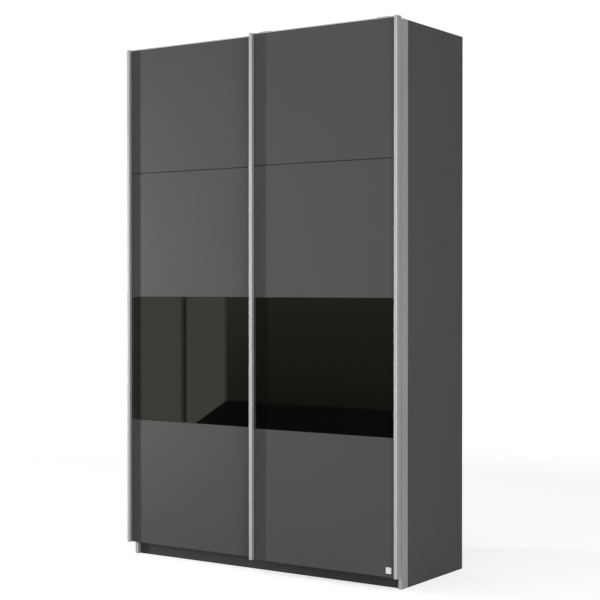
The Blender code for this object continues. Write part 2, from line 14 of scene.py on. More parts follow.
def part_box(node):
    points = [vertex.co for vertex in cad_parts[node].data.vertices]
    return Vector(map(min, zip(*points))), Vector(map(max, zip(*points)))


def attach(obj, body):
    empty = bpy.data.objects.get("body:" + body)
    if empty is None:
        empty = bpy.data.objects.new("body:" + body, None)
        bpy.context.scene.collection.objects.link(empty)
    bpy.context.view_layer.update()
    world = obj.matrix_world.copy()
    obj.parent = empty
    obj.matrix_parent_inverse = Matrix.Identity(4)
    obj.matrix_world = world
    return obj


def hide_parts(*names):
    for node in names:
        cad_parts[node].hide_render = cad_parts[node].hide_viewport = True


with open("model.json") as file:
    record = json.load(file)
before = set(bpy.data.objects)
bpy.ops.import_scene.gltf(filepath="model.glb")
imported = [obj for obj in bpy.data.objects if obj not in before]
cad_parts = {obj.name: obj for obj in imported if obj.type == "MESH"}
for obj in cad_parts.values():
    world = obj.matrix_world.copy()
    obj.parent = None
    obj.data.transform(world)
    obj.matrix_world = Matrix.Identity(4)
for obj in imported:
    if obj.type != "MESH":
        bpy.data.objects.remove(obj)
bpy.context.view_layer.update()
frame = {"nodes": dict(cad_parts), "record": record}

NODES = frame["nodes"]

# ---------------------------------------------------------------- sizes of the added pieces
SEED = 7
SEAT = 0.0001

SCREW_RADIUS = 0.0035
SCREW_HEIGHT = 0.0016
NAIL_RADIUS = 0.0022
NAIL_HEIGHT = 0.0007
HEAD_RIM_SHARE = 0.25
CROSS_LENGTH = SCREW_RADIUS * 1.1
CROSS_WIDTH = SCREW_RADIUS * 0.26
CROSS_TOP = SCREW_HEIGHT * 1.1
CROSS_DEPTH = SCREW_HEIGHT * 0.85
BLADE_TAPER = 0.45

COVER_RADIUS = 0.0085
COVER_HEIGHT = 0.0012
PIN_RADIUS = 0.0025
PIN_LENGTH = 0.008
PIN_COLLAR_RADIUS = PIN_RADIUS * 1.5
PIN_COLLAR_LENGTH = 0.0008
PIN_SHOULDER = 0.0010
PIN_BEVEL = 0.0006

TRACK_WEB_FACE = 0.0033
TRACK_SCREW_DROP = 0.0022
TRACK_SCREW_MARGIN = 0.05
TRACK_SCREWS = 7
NAIL_MARGIN = 0.025
NAILS_IN_ROW = 6
COVER_INSET = 0.034
TOP_ROW_MARGIN = 0.06
TOP_ROW_COUNT = 3
PIN_MARGIN = 0.05
BRACKET_SHEET = 0.002
BRACKET_HOLE_SHARE = 0.65
HANGER_SHEET = 0.0025
HANGER_SCREW_HEIGHTS = (0.009, 0.025)
HANGER_SCREW_INSET = 0.010

CAP_PLAY = 0.00025
CAP_RECESS = 0.0004
CAP_DEPTH = 0.009
CAP_RIM = 0.0012
CAP_SLOPE = 0.0006
CAP_DISH = 0.0008
HANDLE_WALL = 0.0016
HANDLE_GAP = 0.0003
STRIP_WALL = 0.0015

# roller, from its bearing's seat out to the rim
HUB_BORE = 0.0073
HUB_RADIUS = 0.0092
WEB_INNER = 0.0098
WEB_OUTER = 0.0122
RIM_INNER = 0.0128
WEB_RECESS = 0.0016
ROLLER_EDGE = 0.0005
GROOVE_DEPTH = 0.0025
GROOVE_HALF_WIDTH = 0.0019
GROOVE_SLOPE = 0.0012
WEB_HOLES = 5
WEB_HOLE_RING = 0.011
WEB_HOLE_RADIUS = 0.0009
DRILL_REACH = 1.2

# bearing, from its bore out to the roller's hub
BEARING_BORE = 0.00422
BEARING_EDGE = 0.0002
BEARING_RECESS = 0.0004
INNER_RACE = 0.0050
SHIELD_INNER = 0.0052
SHIELD_OUTER = 0.0064
OUTER_RACE = 0.0066
SHIELD_SINK = 0.0003
BEARING_SHOULDER = 0.0003
BEARING_FIT = 0.0001

# countersunk screws of the front door's arms, depths below the arm's top face
ARM_SCREW_INSET = 0.012
SINK_RADIUS = 0.0040
SINK_DEPTH = 0.0019
SINK_OVERCUT = 0.0005
SHANK_RADIUS = 0.0021
FLAT_HEAD_TOP = 0.0003
FLAT_HEAD_EDGE = 0.0005
FLAT_HEAD_DEPTH = 0.0018
FLAT_HEAD_FACE = 0.0036
FLAT_HEAD_RADIUS = 0.0038
DRIVE_LENGTH = 0.0040
DRIVE_WIDTH = 0.0009
DRIVE_DEPTH = 0.0012

TURNED_STEPS = 64
TURNED_WELD = 0.000005
FLAKE_WELD = 0.000002
CAD_WELD = 0.00001
EMPTY_AREA = 1e-14
ROUND_ANGLE = 32
HEAD_ROUND_ANGLE = 40

# ---------------------------------------------------------------- colours, linear
GRAPHITE = (0.0415, 0.0417, 0.0424, 1.0)
# the plinth's own graphite, darkened to paint the shade that the doors' overhang throws on it
PLINTH_PAINTED_SHADE_GRAPHITE = (0.022, 0.0221, 0.0224, 1.0)
GRAPHITE_WORN = (0.13, 0.13, 0.128, 1.0)
LIGHT_DECOR = (0.52, 0.51, 0.49, 1.0)
LIGHT_WORN = (0.40, 0.37, 0.32, 1.0)
CHIP_LIGHT = (0.46, 0.33, 0.20, 1.0)
CHIP_DARK = (0.20, 0.125, 0.065, 1.0)
HARDBOARD = (0.22, 0.135, 0.072, 1.0)
HARDBOARD_FACE = (0.46, 0.45, 0.43, 1.0)
ANODISED = (0.47, 0.47, 0.478, 1.0)
ANODISED_WORN = (0.58, 0.58, 0.59, 1.0)
ZINC = (0.55, 0.56, 0.58, 1.0)
ZINC_WORN = (0.36, 0.36, 0.37, 1.0)
BLACK_GLASS = (0.0022, 0.0022, 0.0019, 1.0)
GROUND_GLASS = (0.05, 0.06, 0.055, 1.0)
NYLON = (0.35, 0.35, 0.34, 1.0)
NYLON_WORN = (0.45, 0.45, 0.44, 1.0)
BLACK_PLASTIC = (0.015, 0.015, 0.016, 1.0)
BLACK_WORN = (0.05, 0.05, 0.05, 1.0)
GREY_PLASTIC = (0.20, 0.20, 0.205, 1.0)
RUBBER = (0.02, 0.02, 0.02, 1.0)
JOINT_BLACK = (0.004, 0.004, 0.004, 1.0)
NICKEL = (0.80, 0.80, 0.81, 1.0)
DUST = (0.34, 0.33, 0.31, 1.0)
WHITE = (1.0, 1.0, 1.0, 1.0)
# share of the anodised colour kept on the sideways faces, as painted shade
SIDE_SHADE_SHARE = 0.72
INNER_FACE_SKIN = 0.0002

UP = (0.0, 0.0, 1.0)
DOWN = (0.0, 0.0, -1.0)
REARWARD = (0.0, 1.0, 0.0)
SIDEWAYS = ((1.0, 0.0, 0.0), (-1.0, 0.0, 0.0))
EVEN = (1.0, 1.0, 1.0)

# ---------------------------------------------------------------- camera, light and floor
CAMERA_PLACE = (3.2455, -4.7062, 1.1111)
CAMERA_YAW = math.radians(34.167)
CAMERA_DIP = math.radians(0.513)
CAMERA_LENS = 84.875
SENSOR_WIDTH = 36.0
VIEW_DEPTH = 60.0

# name, place, target, width, height and watts
LIGHTS = (
    ("side_strip_light", (-5.0, -1.52, 1.1), (0.0, -0.25, 1.0), 0.19, 2.2, 205.0),
    ("side_fill", (4.0, -2.8, 1.1), (0.0, 0.0, 0.9), 2.2, 2.2, 185.0),
    ("overhead", (-0.6, -1.2, 4.2), (0.0, 0.0, 0.0), 3.0, 3.0, 22.0))
BRIGHT_WAY = (-0.30, -0.95, 0.0)
WORLD_DIM = 0.32
WORLD_BRIGHT = 0.56

FLOOR_RADIUS = 4.4
FLOOR_SEGMENTS = 96
FLOOR_TONE = (0.52, 0.52, 0.52, 1.0)
FLOOR_ROUGHNESS = 0.9
FLOOR_GLOW = 0.62
FLOOR_FADE_START = 0.6
FLOOR_FADE_END = 0.98
FLOOR_DROP = 0.0005

# ---------------------------------------------------------------- mirrored room corner
WARM_TONE = (1.0, 0.965, 0.80, 1.0)
DIM_TONE = (1.0, 0.94, 0.72, 1.0)
CORNER = Vector((-5.17, -6.85))
LEFT_WALL_END = Vector((-2.30, -2.07))
WALL_TOP = 1.2
GLOW_RISE = 1.0
CORNER_SHADE_END = 0.030
DARK_LINE_START = 0.523
DARK_LINE_MIDDLE = 0.547
DARK_LINE_END = 0.575
# the last stretch of the left wall, mirrored in the left door's glass just right of its left handle,
# is dimmed to paint that handle's shadow band
LEFT_WALL_SHADOW_START = 0.901
# start and end as shares of the left wall's length, strength and tone
LEFT_WALL = (
    (0.0, CORNER_SHADE_END, 0.60, DIM_TONE),
    (CORNER_SHADE_END, DARK_LINE_START, 0.93, WARM_TONE),
    (DARK_LINE_START, DARK_LINE_MIDDLE, 0.20, DIM_TONE),
    (DARK_LINE_MIDDLE, DARK_LINE_END, 0.45, DIM_TONE),
    (DARK_LINE_END, LEFT_WALL_SHADOW_START, 0.93, WARM_TONE),
    (LEFT_WALL_SHADOW_START, 1.0, 0.40, DIM_TONE))
# the stripe between these, mirrored in the right door's glass just right of its left handle, is
# dimmed to paint that handle's shadow band
SHADOW_BAND_LEFT = -4.776
SHADOW_BAND_RIGHT = -4.616
BACK_END = -3.10
# start and end in X, strength at the floor and at the top
BACK_WALL = (
    (CORNER.x, SHADOW_BAND_LEFT, 0.18, 0.40),
    # painted shadow: this stripe is the dimmed shadow band of the right door's left handle
    (SHADOW_BAND_LEFT, SHADOW_BAND_RIGHT, 0.07, 0.18),
    (SHADOW_BAND_RIGHT, BACK_END, 0.10, 0.28))
DARK_FLOOR_NEAR = -4.55
DARK_FLOOR_LEFT = -3.79
DARK_FLOOR_RIGHT = -1.85
DARK_FLOOR_STRENGTH = 0.015


# ---------------------------------------------------------------- node tree helper
class Tree:
    """Adds nodes to a tree and fills or joins their sockets by name or number."""

    def __init__(self, tree):
        self.tree = tree

    def node(self, kind, sockets=None, **settings):
        made = self.tree.nodes.new(kind)
        for key, value in settings.items():
            setattr(made, key, value)
        for key, value in (sockets or {}).items():
            self.feed(made.inputs[key], value)
        return made

    def feed(self, socket, value):
        if isinstance(value, bpy.types.NodeSocket):
            self.tree.links.new(value, socket)
        else:
            socket.default_value = value

    def math(self, operation, first, second=0.0, clamp=False):
        return self.node("ShaderNodeMath", {0: first, 1: second}, operation=operation,
                         use_clamp=clamp).outputs[0]

    def vector(self, operation, first, second):
        key = "Scale" if operation == "SCALE" else 1
        made = self.node("ShaderNodeVectorMath", {0: first, key: second}, operation=operation)
        return made.outputs["Value" if operation == "DOT_PRODUCT" else "Vector"]

    def mix(self, mask, first, second):
        return self.node("ShaderNodeMix", {0: mask, 6: first, 7: second},
                         data_type="RGBA").outputs[2]

    def blend(self, mask, first, second):
        return self.node("ShaderNodeMix", {0: mask, 2: first, 3: second},
                         data_type="FLOAT").outputs[0]

    def step(self, value, low, high, start=0.0, end=1.0):
        """A soft step from start to end while the value goes from low to high."""
        return self.node(
            "ShaderNodeMapRange",
            {"Value": value, "From Min": low, "From Max": high, "To Min": start, "To Max": end},
            interpolation_type="SMOOTHSTEP").outputs["Result"]

    def noise(self, vector, size, detail=2.0):
        """Soft noise from 0 to 1, its lumps about as wide as the size."""
        spaced = self.vector("SCALE", vector, self.math("DIVIDE", 1.0, size))
        lumps = {"Vector": spaced, "Scale": 1.0, "Detail": detail}
        return self.node("ShaderNodeTexNoise", lumps).outputs[0]


def new_sockets(tree, inputs, outputs):
    for label, kind, value in inputs:
        socket = tree.interface.new_socket(
            name=label, in_out="INPUT", socket_type="NodeSocket" + kind)
        if value is not None:
            socket.default_value = value
    for label, kind in outputs:
        tree.interface.new_socket(name=label, in_out="OUTPUT", socket_type="NodeSocket" + kind)


def new_effect(name, inputs, outputs):
    """A shader node group with its own inputs and outputs."""
    tree = bpy.data.node_groups.new(name, "ShaderNodeTree")
    new_sockets(tree, inputs, outputs)
    made = Tree(tree)
    made.given = tree.nodes.new("NodeGroupInput").outputs
    made.result = tree.nodes.new("NodeGroupOutput").inputs
    return made


# ---------------------------------------------------------------- effects shared by the finishes
def surface_grain():
    """Fine print, brush lines or pores, with a slow drift of tone over the whole surface."""
    effect = new_effect(
        "surface_grain",
        [("Vector", "Vector", None), ("Colour", "Color", None), ("Roughness", "Float", 0.5),
         ("Grain Size", "Float", 0.001), ("Stretch", "Vector", EVEN), ("Cloud Size", "Float", 0.3),
         ("Tone Spread", "Float", 0.1), ("Roughness Spread", "Float", 0.1)],
        [("Colour", "Color"), ("Roughness", "Float"), ("Height", "Float")])
    given = effect.given
    stretched = effect.vector("MULTIPLY", given["Vector"], given["Stretch"])
    fine = effect.noise(stretched, given["Grain Size"], 3.0)
    cloud = effect.noise(given["Vector"], given["Cloud Size"])
    drift = effect.math("SUBTRACT", effect.math("ADD", fine, cloud), 1.0)
    tone = effect.math("ADD", effect.math("MULTIPLY", drift, given["Tone Spread"]), 1.0)
    effect.feed(effect.result["Colour"], effect.vector("SCALE", given["Colour"], tone))
    gloss = effect.math("MULTIPLY", drift, given["Roughness Spread"])
    changed = effect.math("ADD", given["Roughness"], gloss, clamp=True)
    effect.feed(effect.result["Roughness"], changed)
    effect.feed(effect.result["Height"], fine)
    return effect.tree


def edge_wear():
    """Softened edges, rubbed through in patches to the worn colour."""
    effect = new_effect(
        "edge_wear",
        [("Vector", "Vector", None), ("Colour", "Color", None), ("Worn Colour", "Color", None),
         ("Edge Radius", "Float", 0.001), ("Patch Size", "Float", 0.05), ("Amount", "Float", 0.5)],
        [("Colour", "Color"), ("Normal", "Vector")])
    given = effect.given
    rounded = effect.node("ShaderNodeBevel", {"Radius": given["Edge Radius"]}, samples=4).outputs[0]
    flat = effect.node("ShaderNodeNewGeometry").outputs["Normal"]
    turn = effect.math("SUBTRACT", 1.0, effect.vector("DOT_PRODUCT", rounded, flat))
    edge = effect.step(turn, low=0.02, high=0.25)
    patch = effect.step(effect.noise(given["Vector"], given["Patch Size"]), low=0.42, high=0.68)
    rubbed = effect.math("MULTIPLY", edge, patch)
    mask = effect.math("MULTIPLY", rubbed, given["Amount"], clamp=True)
    effect.feed(effect.result["Colour"], effect.mix(mask, given["Colour"], given["Worn Colour"]))
    effect.feed(effect.result["Normal"], rounded)
    return effect.tree


def facing():
    """1 on the surfaces that face one way, and 0 on the others."""
    effect = new_effect(
        "facing",
        [("Normal", "Vector", None), ("Direction", "Vector", UP)],
        [("Mask", "Float")])
    given = effect.given
    along = effect.vector("DOT_PRODUCT", given["Normal"], given["Direction"])
    effect.feed(effect.result["Mask"], effect.step(along, low=0.6, high=0.8))
    return effect.tree


def settled_dust(facing_tree):
    """A thin uneven layer of dust on what faces up."""
    effect = new_effect(
        "settled_dust",
        [("Vector", "Vector", None), ("Normal", "Vector", None), ("Colour", "Color", None),
         ("Dust Colour", "Color", DUST), ("Amount", "Float", 0.2)],
        [("Colour", "Color")])
    given = effect.given
    up = effect.node("ShaderNodeGroup", node_tree=facing_tree)
    effect.feed(up.inputs["Normal"], given["Normal"])
    lumps = effect.noise(given["Vector"], size=0.06, detail=5.0)
    drifts = effect.step(lumps, low=0.30, high=0.70, start=0.35)
    lying = effect.math("MULTIPLY", up.outputs["Mask"], drifts)
    mask = effect.math("MULTIPLY", lying, given["Amount"])
    effect.feed(effect.result["Colour"], effect.mix(mask, given["Colour"], given["Dust Colour"]))
    return effect.tree


def raw_chipboard():
    """Pressed wood chips, as on a board's edge without banding."""
    effect = new_effect(
        "raw_chipboard",
        [("Vector", "Vector", None), ("Light Chip", "Color", CHIP_LIGHT),
         ("Dark Chip", "Color", CHIP_DARK), ("Chip Size", "Float", 0.0025)],
        [("Colour", "Color"), ("Height", "Float")])
    given = effect.given
    flat = effect.vector("MULTIPLY", given["Vector"], (1.6, 0.6, 0.6))
    spaced = effect.vector("SCALE", flat, effect.math("DIVIDE", 1.0, given["Chip Size"]))
    chips = effect.node("ShaderNodeTexVoronoi", {"Vector": spaced, "Scale": 1.0})
    split = effect.node("ShaderNodeSeparateColor", {"Color": chips.outputs["Color"]})
    shade = effect.step(split.outputs[0], low=0.0, high=1.0)
    effect.feed(effect.result["Colour"], effect.mix(shade, given["Dark Chip"], given["Light Chip"]))
    effect.feed(effect.result["Height"], effect.math("SUBTRACT", 1.0, chips.outputs["Distance"]))
    return effect.tree


def hand_smudges():
    """Faint greasy patches that change the gloss where hands and sleeves have touched."""
    effect = new_effect(
        "hand_smudges",
        [("Vector", "Vector", None), ("Roughness", "Float", 0.1), ("Patch Size", "Float", 0.07),
         ("Spread", "Float", 0.05)],
        [("Roughness", "Float")])
    given = effect.given
    lumps = effect.noise(given["Vector"], given["Patch Size"], detail=4.0)
    patch = effect.step(lumps, low=0.52, high=0.74)
    wipe = effect.vector("MULTIPLY", given["Vector"], (1.0, 1.0, 0.25))
    streak = effect.step(effect.noise(wipe, size=0.004, detail=1.0), low=0.35, high=0.65)
    mask = effect.math("MULTIPLY", patch, streak)
    added = effect.math("MULTIPLY", mask, given["Spread"])
    changed = effect.math("ADD", given["Roughness"], added, clamp=True)
    effect.feed(effect.result["Roughness"], changed)
    return effect.tree


EFFECTS = {}
EFFECTS["grain"] = surface_grain()
EFFECTS["wear"] = edge_wear()
EFFECTS["facing"] = facing()
EFFECTS["dust"] = settled_dust(EFFECTS["facing"])
EFFECTS["chips"] = raw_chipboard()
EFFECTS["smudges"] = hand_smudges()


# ---------------------------------------------------------------- finishes
class Finish:
    """A material in the making: its colour, roughness and height, changed effect by effect."""

    def __init__(self, name, colour, roughness):
        self.material = bpy.data.materials.new(name)
        self.material.use_nodes = True
        self.material.diffuse_color = colour
        self.nodes = Tree(self.material.node_tree)
        self.shader = self.material.node_tree.nodes["Principled BSDF"]
        place = self.nodes.node("ShaderNodeTexCoord")
        self.place = place.outputs["Object"]
        self.normal = place.outputs["Normal"]
        self.colour = colour
        self.roughness = roughness
        self.height = None
        self.smooth = None

    def run(self, name, values):
        effect = self.nodes.node("ShaderNodeGroup", node_tree=EFFECTS[name])
        for key, value in values.items():
            self.nodes.feed(effect.inputs[key], value)
        return effect.outputs

    def grain(self, size, stretch, tone, gloss, cloud=0.3):
        grain = self.run("grain", {
            "Vector": self.place, "Colour": self.colour, "Roughness": self.roughness,
            "Grain Size": size, "Stretch": stretch, "Cloud Size": cloud,
            "Tone Spread": tone, "Roughness Spread": gloss})
        self.colour = grain["Colour"]
        self.roughness = grain["Roughness"]
        self.height = grain["Height"]

    def faces(self, direction):
        return self.run("facing", {"Normal": self.normal, "Direction": direction})["Mask"]

    def repaint(self, mask, colour, height=None):
        """Another decor where the mask is 1."""
        self.colour = self.nodes.mix(mask, self.colour, colour)
        if height is not None:
            self.height = self.nodes.blend(mask, self.height, height)

    def bare_board(self, mask):
        chips = self.run("chips", {"Vector": self.place})
        self.repaint(mask, chips["Colour"], chips["Height"])

    def dust(self, amount):
        self.colour = self.run("dust", {
            "Vector": self.place, "Normal": self.normal, "Colour": self.colour,
            "Amount": amount})["Colour"]

    def wear(self, worn, radius, amount, patch=0.05):
        worn_edges = self.run("wear", {
            "Vector": self.place, "Colour": self.colour, "Worn Colour": worn,
            "Edge Radius": radius, "Patch Size": patch, "Amount": amount})
        self.colour = worn_edges["Colour"]
        self.smooth = worn_edges["Normal"]

    def smudges(self, spread, patch=0.07):
        self.roughness = self.run("smudges", {
            "Vector": self.place, "Roughness": self.roughness, "Patch Size": patch,
            "Spread": spread})["Roughness"]

    def done(self, bump=0.1, depth=0.0001, **constants):
        """Joins everything to the shader; constants are named by socket with _ for a space."""
        self.nodes.feed(self.shader.inputs["Base Color"], self.colour)
        self.nodes.feed(self.shader.inputs["Roughness"], self.roughness)
        relief = {"Strength": bump, "Distance": depth, "Height": self.height}
        if self.smooth is not None:
            relief["Normal"] = self.smooth
        raised = self.nodes.node("ShaderNodeBump", relief).outputs["Normal"]
        self.nodes.feed(self.shader.inputs["Normal"], raised)
        for key, value in constants.items():
            self.shader.inputs[key.replace("_", " ")].default_value = value
        return self.material


def graphite_board(name, colour):
    """Dark board with a fine upright print."""
    finish = Finish(name, colour, roughness=0.50)
    finish.grain(0.0009, stretch=(1.0, 1.0, 0.45), tone=0.10, gloss=0.10, cloud=0.45)
    finish.dust(0.20)
    finish.wear(GRAPHITE_WORN, radius=0.0012, amount=0.45)
    finish.smudges(spread=0.07, patch=0.09)
    return finish.done(bump=0.12)


def side_board():
    """Graphite outside, light inside, bare chipboard on the rear edge and in the groove."""
    finish = Finish("graphite_melamine_side", GRAPHITE, roughness=0.50)
    finish.grain(0.0009, stretch=(1.0, 1.0, 0.45), tone=0.10, gloss=0.10, cloud=0.45)
    split = finish.nodes.node("ShaderNodeSeparateXYZ", {0: finish.place})
    outward = finish.nodes.math("ABSOLUTE", split.outputs["X"])
    inner_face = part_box("side_panel_right")[0].x
    inside = finish.nodes.math("LESS_THAN", outward, inner_face + INNER_FACE_SKIN)
    finish.repaint(inside, LIGHT_DECOR)
    finish.bare_board(finish.faces(REARWARD))
    finish.bare_board(finish.faces(DOWN))
    finish.dust(0.20)
    finish.wear(GRAPHITE_WORN, radius=0.0012, amount=0.40)
    finish.smudges(spread=0.06, patch=0.12)
    return finish.done(bump=0.12)


def interior_board():
    """Light linen print, with bare chipboard on the rear edges."""
    finish = Finish("light_linen_melamine", LIGHT_DECOR, roughness=0.55)
    finish.grain(0.0008, stretch=(0.35, 1.0, 1.0), tone=0.09, gloss=0.08, cloud=0.5)
    finish.bare_board(finish.faces(REARWARD))
    finish.dust(0.16)
    finish.wear(LIGHT_WORN, radius=0.001, amount=0.35)
    return finish.done(bump=0.15)


def back_board():
    """Thin board: lacquered towards the room, brown and fibrous on the wall side."""
    finish = Finish("lacquered_hardboard", HARDBOARD_FACE, roughness=0.55)
    finish.grain(0.0012, stretch=EVEN, tone=0.08, gloss=0.08, cloud=0.4)
    rear = finish.faces(REARWARD)
    drawn = finish.nodes.vector("MULTIPLY", finish.place, (0.4, 1.0, 1.0))
    fibres = finish.nodes.noise(drawn, size=0.0018, detail=6.0)
    flecks = finish.nodes.step(fibres, low=0.35, high=0.7, start=0.72, end=1.22)
    finish.repaint(rear, finish.nodes.vector("SCALE", HARDBOARD[:3], flecks))
    return finish.done(bump=0.25, depth=0.00015)


def anodised(name, stretch):
    """Satin anodised extrusion, drawing lines along its length, its narrow sides painted darker as
    shade.
    """
    finish = Finish(name, ANODISED, roughness=0.44)
    finish.grain(0.0005, stretch, tone=0.10, gloss=0.14, cloud=0.25)
    # painted shade: the faces turned to either side get a darker copy of the colour
    for way in SIDEWAYS:
        shaded_side = finish.nodes.vector("SCALE", finish.colour, SIDE_SHADE_SHARE)
        finish.repaint(finish.faces(way), shaded_side)
    finish.dust(0.10)
    finish.wear(ANODISED_WORN, radius=0.0006, amount=0.5)
    finish.smudges(spread=0.06, patch=0.05)
    return finish.done(bump=0.10, depth=0.00005, Metallic=0.5)


def black_glass():
    """Polished pane with its black paint behind, a few smudges and a ground edge."""
    finish = Finish("black_backed_glass", BLACK_GLASS, roughness=0.015)
    finish.grain(0.02, stretch=EVEN, tone=0.08, gloss=0.004)
    finish.wear(GROUND_GLASS, radius=0.0006, amount=0.5, patch=0.03)
    finish.smudges(spread=0.035, patch=0.06)
    return finish.done(bump=0.01, depth=0.00002, IOR=1.5)


def sheet_zinc():
    """Zinc plated steel, mottled and a little dull."""
    finish = Finish("zinc_plated_steel", ZINC, roughness=0.38)
    finish.grain(0.003, stretch=EVEN, tone=0.22, gloss=0.20, cloud=0.012)
    finish.dust(0.12)
    finish.wear(ZINC_WORN, radius=0.0005, amount=0.6, patch=0.01)
    return finish.done(bump=0.12, depth=0.00005, Metallic=1.0)


def moulded(name, colour, worn, roughness, pores, spread=0.10, sheen=0.0):
    """Moulded plastic or rubber with a fine eroded texture."""
    finish = Finish(name, colour, roughness)
    finish.grain(pores, stretch=EVEN, tone=spread, gloss=0.12, cloud=0.02)
    finish.dust(0.10)
    finish.wear(worn, radius=0.0004, amount=0.4, patch=0.01)
    return finish.done(bump=0.22, depth=0.00008, Sheen_Weight=sheen)


def joint_foil():
    """Dull black strip sunk between two boards."""
    finish = Finish("dull_black_strip", JOINT_BLACK, roughness=0.75)
    finish.grain(0.0008, stretch=(0.2, 1.0, 1.0), tone=0.15, gloss=0.08, cloud=0.05)
    return finish.done(bump=0.10, depth=0.00005, Specular_IOR_Level=0.2)


def polished_nickel():
    """The blank plate's pale brushed metal."""
    finish = Finish("polished_nickel", NICKEL, roughness=0.30)
    finish.grain(0.0003, stretch=(0.05, 1.0, 1.0), tone=0.03, gloss=0.05, cloud=0.02)
    finish.wear(ANODISED_WORN, radius=0.0003, amount=0.3, patch=0.01)
    return finish.done(bump=0.08, depth=0.00003, Metallic=0.35)


FINISH = {
    "graphite": graphite_board("graphite_melamine", GRAPHITE),
    # the plinth gets a darker copy of the same graphite, as painted shade under the doors
    "plinth": graphite_board("graphite_plinth_painted_shade", PLINTH_PAINTED_SHADE_GRAPHITE),
    "side": side_board(),
    "interior": interior_board(),
    "backing": back_board(),
    "upright aluminium": anodised("anodised_aluminium_upright", (1.0, 1.0, 0.012)),
    "level aluminium": anodised("anodised_aluminium_level", (0.012, 1.0, 1.0)),
    "glass": black_glass(),
    "steel": sheet_zinc(),
    "nylon": moulded("moulded_nylon", NYLON, NYLON_WORN, roughness=0.42, pores=0.0006),
    "plastic": moulded("moulded_black_plastic", BLACK_PLASTIC, BLACK_WORN,
                       roughness=0.46, pores=0.0005),
    "cap": moulded("moulded_grey_plastic", GREY_PLASTIC, NYLON_WORN,
                   roughness=0.50, pores=0.0005),
    "cover": moulded("moulded_light_plastic", LIGHT_DECOR, LIGHT_WORN,
                     roughness=0.45, pores=0.0006),
    "rubber": moulded("stop_rubber", RUBBER, BLACK_WORN, roughness=0.80, pores=0.0008,
                      spread=0.2, sheen=0.15),
    "joint": joint_foil(),
    "nickel": polished_nickel(),
}
FINISH_OF_SLOT = {
    "graphite_board": "graphite",
    "interior_board": "interior",
    "back_board": "backing",
    "satin_aluminium": "level aluminium",
    "black_glass": "glass",
    "zinc_steel": "steel",
    "grey_nylon": "nylon",
    "black_plastic": "plastic",
    "stop_rubber": "rubber",
}


def finish_name(node, slot):
    if node.startswith("side_panel"):
        return "side"
    if node.startswith("side_strip") or "_handle_" in node:
        return "upright aluminium"
    # painted shade: the plinth takes the darkened copy of the graphite
    if node == "plinth_front":
        return "plinth"
    if node == "badge_plate":
        return "nickel"
    if node.endswith("_joint_strip"):
        return "joint"
    return FINISH_OF_SLOT[slot]


def dress(item, finish):
    if not item.material_slots:
        item.data.materials.append(FINISH[finish])
    for slot in item.material_slots:
        slot.material = FINISH[finish]


for part in frame["record"]["subparts"]:
    dress(NODES[part["node"]], finish_name(part["node"], part["material_slot"]))


# ---------------------------------------------------------------- mesh helpers
def add(name, data):
    """A new object at the origin, linked to the scene."""
    item = bpy.data.objects.new(name, data)
    bpy.context.scene.collection.objects.link(item)
    return item


def piece_from(shape, name, finish=None):
    """An object at the origin from a finished shape."""
    mesh = bpy.data.meshes.new(name)
    shape.to_mesh(mesh)
    shape.free()
    if finish:
        mesh.materials.append(FINISH[finish])
    return add(name, mesh)


def discard(*items):
    for item in items:
        bpy.data.objects.remove(item, do_unlink=True)


def place_on(item, body, slot, *stands_for):
    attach(item, body)
    if stands_for:
        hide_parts(*stands_for)


def turned(outline, center, along, steps=TURNED_STEPS):
    """A closed outline of (radius, distance along the axis), turned into a ring or a disc."""
    shape = bmesh.new()
    axis = Vector(along).normalized()
    across = axis.orthogonal().normalized()
    corners = [shape.verts.new(axis * run + across * radius) for radius, run in outline]
    edges = [shape.edges.new(pair) for pair in zip(corners, corners[1:] + corners[:1])]
    bmesh.ops.spin(shape, geom=corners + edges, cent=(0, 0, 0), axis=axis, angle=2 * math.pi,
                   steps=steps, use_duplicate=False)
    bmesh.ops.remove_doubles(shape, verts=shape.verts, dist=TURNED_WELD)
    loose = [face for face in shape.faces if face.calc_area() < EMPTY_AREA]
    bmesh.ops.delete(shape, geom=loose, context="FACES")
    bmesh.ops.recalc_face_normals(shape, faces=shape.faces)
    bmesh.ops.translate(shape, verts=shape.verts, vec=center)
    return shape


def smooth_where_round(item, degrees=ROUND_ANGLE):
    """Smooth shading over gentle turns, sharp edges kept."""
    item.data.shade_smooth()
    item.data.set_sharp_from_angle(angle=math.radians(degrees))


def evaluated_mesh(item):
    """A plain mesh of the item with its modifiers applied."""
    bpy.context.view_layer.update()
    made = item.evaluated_get(bpy.context.evaluated_depsgraph_get())
    return bpy.data.meshes.new_from_object(made)


def carve(item, tools):
    """Cuts the tools out of the item and discards them."""
    for tool in tools:
        cut = item.modifiers.new(tool.name, "BOOLEAN")
        cut.operation = "DIFFERENCE"
        cut.solver = "EXACT"
        cut.object = tool
    mesh = evaluated_mesh(item)
    item.modifiers.clear()
    item.data = mesh
    discard(*tools)


def drop_flakes(item):
    """Keeps only the largest joined body, and drops slivers that a cut left behind."""
    shape = bmesh.new()
    shape.from_mesh(item.data)
    bmesh.ops.remove_doubles(shape, verts=shape.verts, dist=FLAKE_WELD)
    waiting = set(shape.verts)
    bodies = []
    while waiting:
        body = []
        reached = [waiting.pop()]
        while reached:
            corner = reached.pop()
            body.append(corner)
            for edge in corner.link_edges:
                other = edge.other_vert(corner)
                if other in waiting:
                    waiting.remove(other)
                    reached.append(other)
        bodies.append(body)
    largest = max(bodies, key=len)
    stray = [corner for body in bodies if body is not largest for corner in body]
    bmesh.ops.delete(shape, geom=stray, context="VERTS")
    shape.to_mesh(item.data)
    shape.free()


